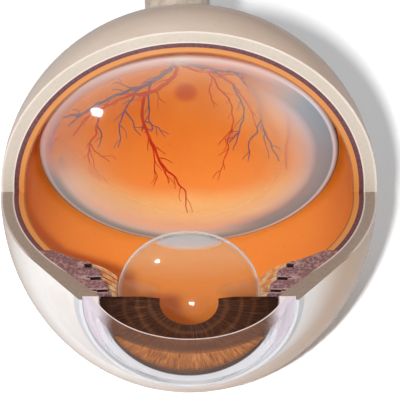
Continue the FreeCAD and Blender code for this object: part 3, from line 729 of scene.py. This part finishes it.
def ramp(tree, factor, stops, bend="LINEAR"):
    """Colours at stops from 0 to 1 along a factor."""
    made = tree.nodes.new("ShaderNodeValToRGB")
    tree.links.new(factor, made.inputs[0])
    band = made.color_ramp
    band.interpolation = bend
    while len(band.elements) < len(stops):
        band.elements.new(0.5)
    for element, (position, colour) in zip(band.elements, stops):
        element.position, element.color = position, colour
    return made.outputs[0]


def spokes(tree, angle, per_turn, radius, along):
    """Place in a pattern that is drawn out along the radii."""
    return add(tree, "ShaderNodeCombineXYZ", {0: times(tree, angle, per_turn), 1: times(tree, radius, along)})


def iris_plastic():
    """Dark brown painted shade with faint rings, and golden brown lower down, both in radial fibres."""
    material, tree, shader = plastic("iris_brown", 0.7)
    shader.inputs["Specular IOR Level"].default_value = 0.2
    place = place_in(tree, LENS_AXIS)
    side, height = part_of(tree, place, 0), part_of(tree, place, 2)
    radius, angle = diagonal(tree, side, height), calc(tree, "ARCTAN2", height, side)
    fibres = add(tree, "ShaderNodeTexNoise", {
        "Vector": spokes(tree, angle, 22.0, radius, 0.16), "Scale": 1.0, "Detail": 5.0,
        "Roughness": 0.65, "Distortion": 0.35})
    hairs = mottle(tree, spokes(tree, angle, 60.0, radius, 0.3), 1.0, 4.0)
    grain = times(tree, calc(tree, "ADD", fibres, hairs), 0.5)
    golden = ramp(tree, grain, [(0.34, srgb(84, 40, 14)), (0.46, srgb(144, 82, 34)),
                                (0.58, srgb(182, 114, 54)), (0.7, srgb(212, 152, 88))])
    golden = tint(tree, times(tree, fade(tree, radius, 24.5, 27.2), 0.8), golden, srgb(84, 40, 18))
    # The dark brown is painted shade, darkest towards the outer edge.
    dark = ramp(tree, fibres, [(0.35, srgb(40, 16, 3)), (0.55, srgb(66, 32, 12)), (0.72, srgb(110, 66, 36))])
    waver = times(tree, mottle(tree, place, 0.12, 2.0), 5.0)
    rings = calc(tree, "SINE", calc(tree, "ADD", times(tree, radius, 1.55), waver))
    dark = painted(tree, dark, (times(tree, fade(tree, rings, 0.1, 1.0), 0.35), srgb(116, 70, 40)),
                   (times(tree, fade(tree, radius, 15.0, 26.0), 0.8), srgb(36, 14, 3)))
    bow = times(tree, calc(tree, "POWER", side, 2.0), 0.0127)
    lower = fade(tree, calc(tree, "SUBTRACT", height, bow), -18.4, -20.2)
    return finished(material, shader, tint(tree, lower, dark, golden), fibres, 0.5, 0.35 * MM)


iris_disc = half_turned("iris_disc", iris_profile(), IRIS_STEPS, iris_ripple)
iris_disc.data.materials.append(iris_plastic())
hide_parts("iris")
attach(iris_disc, "iris")


# ---- Clear pieces: lens, cornea and vitreous body ----
# All three are cast and polished clear acrylic, and lie loose in their seats. They look
# milky where the surface turns away, a painted sheen, and their cut faces are polished flat.

def facing_away(tree):
    """0 where the surface is seen straight on, 1 where it is seen along its face."""
    return add(tree, "ShaderNodeLayerWeight", {"Blend": 0.5}, output="Facing")


def clear_acrylic(name, film_colour, film_share, shine=0.5, glow=0.0, polished=None,
                  dye=(1.0, 1.0, 1.0, 1.0)):
    """A material that lets light through, under a milky film and a polish.

    film_colour, film_share and polished are functions that take the tree; polished says
    where there is any polish. The shine is how much the polish grows where the surface
    turns away, the glow how much of it is fine-matt and gives glints a halo. Each face
    dyes the light that passes.
    """
    material, tree, film = plastic(name, 0.3)
    tree.links.new(film_colour(tree), film.inputs["Base Color"])
    film.inputs["Specular IOR Level"].default_value = 0.0
    clear = add(tree, "ShaderNodeBsdfTransparent", {"Color": dye})
    body = add(tree, "ShaderNodeMixShader", {0: film_share(tree), 1: clear, 2: film.outputs[0]})
    mirror, matt = [add(tree, "ShaderNodeBsdfAnisotropic", {"Color": (1, 1, 1, 1), "Roughness": roughness})
                    for roughness in (0.03, 0.17)]
    gloss = add(tree, "ShaderNodeMixShader", {0: glow, 1: mirror, 2: matt})
    polish = times(tree, calc(tree, "POWER", facing_away(tree), 5.0), shine)
    polish = calc(tree, "ADD", polish, 0.02)
    if polished:
        polish = times(tree, polish, polished(tree))
    whole = add(tree, "ShaderNodeMixShader", {0: polish, 1: body, 2: gloss})
    tree.links.new(whole, tree.nodes["Material Output"].inputs["Surface"])
    return material


def grazing(tree, low, high, share):
    """A share that rises where the surface turns away."""
    return times(tree, fade(tree, facing_away(tree), low, high), share)


def lens_front(tree):
    """1 on the lens's front half."""
    return fade(tree, part_of(tree, place_in(tree, LENS_AXIS), 1), 0.2, -0.2)


def lens_crest(tree):
    """1 in the crescent inside the lens's upper edge, painted light where a real lens would bend it."""
    place = place_in(tree, LENS_AXIS)
    bow = times(tree, calc(tree, "POWER", part_of(tree, place, 0), 2.0), 0.012)
    height = calc(tree, "SUBTRACT", part_of(tree, place, 2), bow)
    crest = fade(tree, height, LENS_RADIUS / MM * 0.8, LENS_RADIUS / MM * 0.85)
    return times(tree, crest, lens_front(tree))


def lens_foot_shade(tree):
    """1 in the painted brown shade beside the pupil, where the iris shows through the lens."""
    place = place_in(tree, LENS_AXIS)
    side, height = calc(tree, "ABSOLUTE", part_of(tree, place, 0)), part_of(tree, place, 2)
    bowed = calc(tree, "SUBTRACT", height, times(tree, side, 0.16))
    band = times(tree, fade(tree, bowed, 4.4, 1.6), fade(tree, side, 7.0, 12.0))
    return times(tree, band, lens_front(tree))


def lens_level(tree, low, high):
    """0 at one height and 1 at the other, in mm above the lens's axis."""
    return fade(tree, part_of(tree, place_in(tree, LENS_AXIS), 2), low, high)


def lens_colour(tree):
    """Greyer in the crest, painted brown shade below and beside the pupil, painted white sheen on the edge.
    """
    return painted(tree, srgb(224, 206, 172),
                   (lens_crest(tree), srgb(176, 174, 176)),
                   # Painted shade below and beside the pupil, and a painted sheen on the edge.
                   (lens_level(tree, 8.0, 4.0), srgb(140, 72, 30)),
                   (fade(tree, lens_foot_shade(tree), 0.0, 0.1), srgb(170, 116, 84)),
                   (grazing(tree, 0.5, 0.62, 1.0), srgb(255, 255, 255)))


def most(tree, *shares):
    """The largest of some shares."""
    largest = shares[0]
    for share in shares[1:]:
        largest = calc(tree, "MAXIMUM", largest, share)
    return largest


def lens_haze(tree):
    """A painted sheen line round the edge, milky above, painted brown shade below and beside the pupil."""
    line, soft = grazing(tree, 0.6, 0.76, 0.9), grazing(tree, 0.3, 0.85, 0.2)
    upper = times(tree, lens_level(tree, 4.0, 16.0), 0.16)
    # Painted brown shade in the lower part.
    lower = times(tree, lens_level(tree, 5.0, -8.0), 0.34)
    shades = calc(tree, "ADD", calc(tree, "ADD", upper, lower), times(tree, lens_crest(tree), 0.62))
    foot = times(tree, lens_foot_shade(tree), 0.5)
    return most(tree, line, soft, times(tree, most(tree, shades, foot), lens_front(tree)))


dress("lens", clear_acrylic("lens_clear", lens_colour, lens_haze, glow=0.2, dye=(0.912, 0.967, 0.967, 1.0)))

# Middle of the cornea's hollow, and the hollow's radius in mm.
CORNEA_HOLLOW = Vector((0, -43.8 * MM, LENS_AXIS.z))
HOLLOW_RADIUS = 30.4


def cornea_cut(tree):
    """1 on the polished cut face, 0 elsewhere."""
    return fade(tree, part_of(tree, place_in(tree), 2), -0.06, -0.03)


def cornea_depth(tree):
    """Distance in mm outward from the hollow's face."""
    return calc(tree, "SUBTRACT", length_of(tree, place_in(tree, CORNEA_HOLLOW)), HOLLOW_RADIUS)


def cornea_edge_highlight(tree):
    """1 on a narrow band along the inner edge of the cut face, where a highlight is painted."""
    return times(tree, fade(tree, cornea_depth(tree), 0.55, 0.35), cornea_cut(tree))


def cornea_horn(tree):
    """1 at the thick ends of the cornea, which are cast milky."""
    place = place_in(tree)
    side, depth = calc(tree, "ABSOLUTE", part_of(tree, place, 0)), part_of(tree, place, 1)
    return times(tree, fade(tree, side, 22.0, 27.2), fade(tree, depth, -69.0, -62.0))


def cornea_colour(tree):
    """Bluish, with a brown cut face, milky ends and a painted highlight along the inner edge."""
    return painted(tree, srgb(228, 234, 240),
                   (cornea_cut(tree), srgb(164, 112, 88)),
                   (cornea_horn(tree), srgb(232, 222, 230)),
                   (cornea_edge_highlight(tree), srgb(252, 232, 226)))


def cornea_haze(tree):
    """Strong at the ends and, as painted sheen, at the edges; half as strong on the cut face; none in the
    hollow.
    """
    outside = fade(tree, cornea_depth(tree), 0.2, 0.5)
    return most(tree, times(tree, grazing(tree, 0.88, 0.985, 0.75), outside),
                times(tree, cornea_cut(tree), 0.38),
                times(tree, cornea_horn(tree), 0.72),
                times(tree, cornea_edge_highlight(tree), 0.8))


dress("cornea", clear_acrylic("cornea_clear", cornea_colour, cornea_haze, shine=0.05))

# The vitreous body leans back; its rim's radius is in mm.
VITREOUS_TILT = radians(17.3)
VITREOUS_RIM = 48.96


def vitreous_place(tree):
    """Place on the body's own axes, as a share of its rim's radius."""
    return stretch(tree, place_in(tree, tilt=VITREOUS_TILT), 1 / VITREOUS_RIM)


def vitreous_radius(tree):
    """Distance from the body's axis, 1 on its rim."""
    place = vitreous_place(tree)
    return diagonal(tree, part_of(tree, place, 0), part_of(tree, place, 2))


def vitreous_front(tree):
    """1 on the front face and its rounded rim, 0 on the ball behind."""
    return fade(tree, part_of(tree, place_in(tree, tilt=VITREOUS_TILT), 1), 20.0, 18.5)


def vitreous_upper(tree):
    """1 in the upper left, where the painted sheen is only a bright crescent, 0 to the right and below."""
    return fade(tree, measure(tree, vitreous_place(tree), (-0.45, 0.0, 0.85)), 0.05, 0.62)


def vitreous_lower(tree):
    """1 in the lower left, where the wide band is palest."""
    return fade(tree, measure(tree, vitreous_place(tree), (-0.55, 0.0, -0.83)), 0.3, 0.75)


def vitreous_colour(tree):
    """Cream inside, blue-grey painted sheen in the band, a painted highlight line and painted shade at the
    rim.
    """
    reach = vitreous_radius(tree)
    # A painted highlight line near the rim, and painted shade at its very edge.
    wide = ramp(tree, reach, [
        (0.5, srgb(255, 240, 172)), (0.66, srgb(252, 240, 200)), (0.745, srgb(236, 240, 228)),
        (0.805, srgb(206, 222, 230)), (0.85, srgb(157, 184, 197)), (0.945, srgb(145, 176, 189)),
        (0.957, srgb(240, 246, 255)), (0.972, srgb(190, 198, 206)), (0.988, srgb(84, 66, 54))])
    low = ramp(tree, reach, [
        (0.5, srgb(255, 242, 180)), (0.68, srgb(255, 244, 206)), (0.8, srgb(252, 246, 226)),
        (0.87, srgb(232, 242, 236)), (0.92, srgb(162, 192, 198)), (0.945, srgb(154, 186, 194)),
        (0.957, srgb(212, 226, 232)), (0.972, srgb(170, 184, 190)), (0.988, srgb(84, 66, 54))])
    narrow = ramp(tree, reach, [
        (0.6, srgb(255, 240, 180)), (0.88, srgb(250, 236, 206)), (0.94, srgb(236, 236, 236)),
        (0.975, srgb(236, 232, 230)), (0.993, srgb(150, 108, 88))])
    return painted(tree, wide, (vitreous_lower(tree), low), (vitreous_upper(tree), narrow))


# How milky the body is at distances from its axis, as painted sheen towards the rim: wide band,
# lower left and upper left.
VITREOUS_MILK = [
    [(0.2, 0.0), (0.42, 0.05), (0.54, 0.2), (0.65, 0.36), (0.75, 0.54), (0.82, 0.8), (0.88, 0.93),
     (1.0, 0.9)],
    [(0.2, 0.0), (0.42, 0.05), (0.54, 0.24), (0.65, 0.48), (0.75, 0.72), (0.82, 0.88), (0.88, 0.94),
     (1.0, 0.9)],
    [(0.4, 0.0), (0.66, 0.06), (0.78, 0.17), (0.9, 0.26), (0.94, 0.44), (0.965, 0.66), (1.0, 0.5)]]


def vitreous_haze(tree):
    """Milky towards the rim, as painted sheen, in a wide band below and in a thin one above."""
    reach = vitreous_radius(tree)
    wide, low, narrow = [
        ramp(tree, reach, [(at, (milk, milk, milk, 1)) for at, milk in stops], "B_SPLINE")
        for stops in VITREOUS_MILK]
    share = painted(tree, wide, (vitreous_lower(tree), low), (vitreous_upper(tree), narrow))
    return times(tree, share, vitreous_front(tree))


dress("vitreous_body", clear_acrylic(
    "vitreous_clear", vitreous_colour, vitreous_haze, glow=0.3, polished=vitreous_front))

for clear_piece in ("lens", "cornea", "vitreous_body"):
    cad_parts[clear_piece].visible_shadow = False


# ---- Pins and stand bush ----
# Four ground steel pins locate the front quarter on the rear bowl, and a turned brass
# bush in the foot takes the rod of a table stand.

def bright_metal(name, colour, roughness):
    """Turned or ground metal with faint darker patches."""
    material, tree, shader = plastic(name, roughness)
    shader.inputs["Metallic"].default_value = 1.0
    darker = (*[0.85 * part for part in colour[:3]], 1.0)
    patches = fade(tree, mottle(tree, place_in(tree), 4.0, 2.0), 0.3, 0.7)
    return finished(material, shader, tint(tree, patches, colour, darker))


dress("locating_pins", bright_metal("pin_steel", srgb(190, 192, 196), 0.3))
dress("stand_bush", bright_metal("bush_brass", srgb(214, 178, 106), 0.28))


# ---- Floor, lamps and camera ----
# The model stands on a plain white sheet. A small key lamp stands in front, above and a
# little to the left, broad ones fill from the left and from above, and three tiny ones
# make the glints.

FLOOR_SIZE = 6.0


def floor_paper():
    """Plain matt paper, exposed to white where it is seen and dimmer where it only lends light."""
    material, tree, shader = plastic("floor_paper", 0.9)
    shader.inputs["Base Color"].default_value = srgb(200, 200, 202)
    shader.inputs["Specular IOR Level"].default_value = 0.0
    white = add(tree, "ShaderNodeBsdfDiffuse", {"Color": (1.25, 1.25, 1.26, 1.0)})
    far_off = add(tree, "ShaderNodeEmission", {"Strength": 1.0})
    reach = length_of(tree, add(tree, "ShaderNodeTexCoord", output="Object"))
    sheet = add(tree, "ShaderNodeMixShader", {0: fade(tree, reach, 0.3, 0.6), 1: white, 2: far_off})
    rays = tree.nodes.new("ShaderNodeLightPath").outputs
    seen = calc(tree, "MAXIMUM", rays["Is Camera Ray"], rays["Is Transmission Ray"])
    whole = add(tree, "ShaderNodeMixShader", {0: seen, 1: shader.outputs[0], 2: sheet})
    tree.links.new(whole, tree.nodes["Material Output"].inputs["Surface"])
    return material


bpy.ops.mesh.primitive_plane_add(size=FLOOR_SIZE)
floor = bpy.context.object
floor.name = "floor"
floor.data.materials.append(floor_paper())


def lamp(name, place, target, size, power):
    """A round lamp that faces a point."""
    light = bpy.data.lights.new(name, "AREA")
    light.shape, light.size, light.energy = "DISK", size, power
    made = placed(name, light)
    made.location = place
    made.rotation_euler = (Vector(target) - Vector(place)).to_track_quat("-Z", "Y").to_euler()
    made.visible_camera = False
    return made


KEY_DISTANCE, KEY_SIDE, KEY_RISE, KEY_SIZE = 0.8, radians(5.5), radians(35.0), 0.03
KEY_PLACE = CENTRE + KEY_DISTANCE * Vector((
    -sin(KEY_SIDE) * cos(KEY_RISE), -cos(KEY_SIDE) * cos(KEY_RISE), sin(KEY_RISE)))
# The floor lamp stands in the key lamp's place and lights only the sheet, up to white.
key_lamp = lamp("key_lamp", KEY_PLACE, CENTRE, KEY_SIZE, 4.4)
left_lamp = lamp("left_lamp", (-0.95, -0.55, 0.35), CENTRE, 0.7, 1.6)
top_lamp = lamp("top_lamp", (-0.2, 0.1, 1.2), CENTRE, 0.9, 1.8)
floor_lamp = lamp("floor_lamp", KEY_PLACE, CENTRE, KEY_SIZE, 4.8)
for unseen_lamp in (key_lamp, left_lamp, top_lamp, floor_lamp):
    unseen_lamp.visible_glossy = False
lit_floor = bpy.data.collections.new("lit_floor")
lit_floor.objects.link(floor)
floor_lamp.light_linking.receiver_collection = lit_floor

# Each glint: place of its lamp from the centre and size of the lamp in mm, and power. The
# lamps face the back of the bowl and show only as reflections.
GLINTS = [((-31.1, -0.6, 13.4), 4.2, 0.0042), ((-14.3, -75.3, 3.1), 2.4, 0.002),
          ((1.0, -61.3, -9.3), 1.5, 0.0006)]
GLINT_WAY = Vector((0.0, 1.0, 0.3))
for offset, size, power in GLINTS:
    spot = CENTRE + Vector(offset) * MM
    glint_lamp = lamp("glint_lamp", spot, spot + GLINT_WAY, size * MM, power)
    glint_lamp.visible_diffuse = False

# The room is white where it is seen and a quarter as bright where it only lends light.
world = bpy.data.worlds.new("studio")
bpy.context.scene.world = world
world.use_nodes = True
room = world.node_tree
room.nodes["Background"].inputs["Color"].default_value = (1, 1, 1, 1)
seen = room.nodes.new("ShaderNodeLightPath").outputs["Is Camera Ray"]
brightness = add(room, "ShaderNodeMapRange", {"Value": seen, "To Min": 0.25, "To Max": 1.0})
room.links.new(brightness, room.nodes["Background"].inputs["Strength"])

CAMERA_DISTANCE = 12 * RADIUS
CAMERA_RISE = radians(35.4)
camera = placed("camera", bpy.data.cameras.new("camera"))
camera.location = CENTRE + CAMERA_DISTANCE * Vector((0, -cos(CAMERA_RISE), sin(CAMERA_RISE)))
camera.rotation_euler = (pi / 2 - CAMERA_RISE, 0, 0)
camera.data.sensor_width, camera.data.lens = 36, 202.8
camera.data.shift_x, camera.data.shift_y = 0.0275, -0.02
bpy.context.scene.camera = camera
bpy.context.scene.view_settings.view_transform = "Standard"

bpy.context.view_layer.update()
